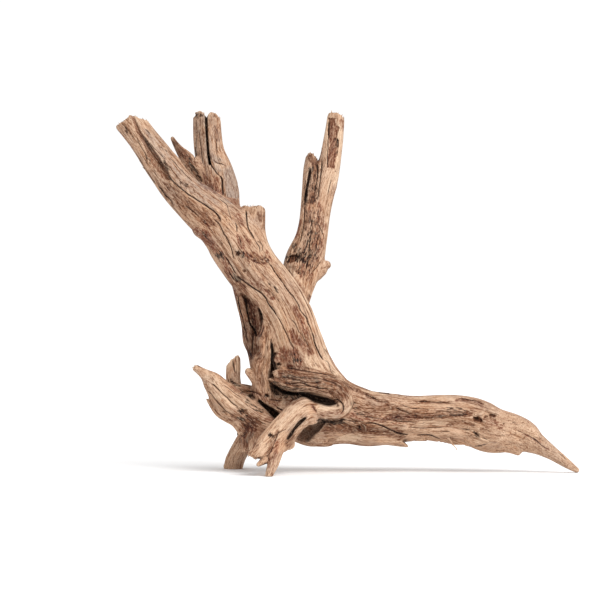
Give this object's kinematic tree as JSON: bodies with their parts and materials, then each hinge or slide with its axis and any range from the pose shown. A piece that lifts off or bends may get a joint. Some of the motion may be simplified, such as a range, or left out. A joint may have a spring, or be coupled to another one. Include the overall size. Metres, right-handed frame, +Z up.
{
  "type": "aquarium driftwood",
  "caption": "Branching piece of weathered driftwood: a leaning cracked stem, two split upright limbs, a long tapering root and short broken stubs it stands on.",
  "frame": {"origin": "on the surface it rests on, under the middle of its bounding box", "axes": "+X towards the tip of the long root, +Y to the back, +Z up"},
  "size_m": [0.3916, 0.1177, 0.3105],
  "materials": {
    "wood": "bare, weathered, matte"
  },
  "bodies": {
    "root": {"driftwood": "wood"}
  },
  "joints": []
}
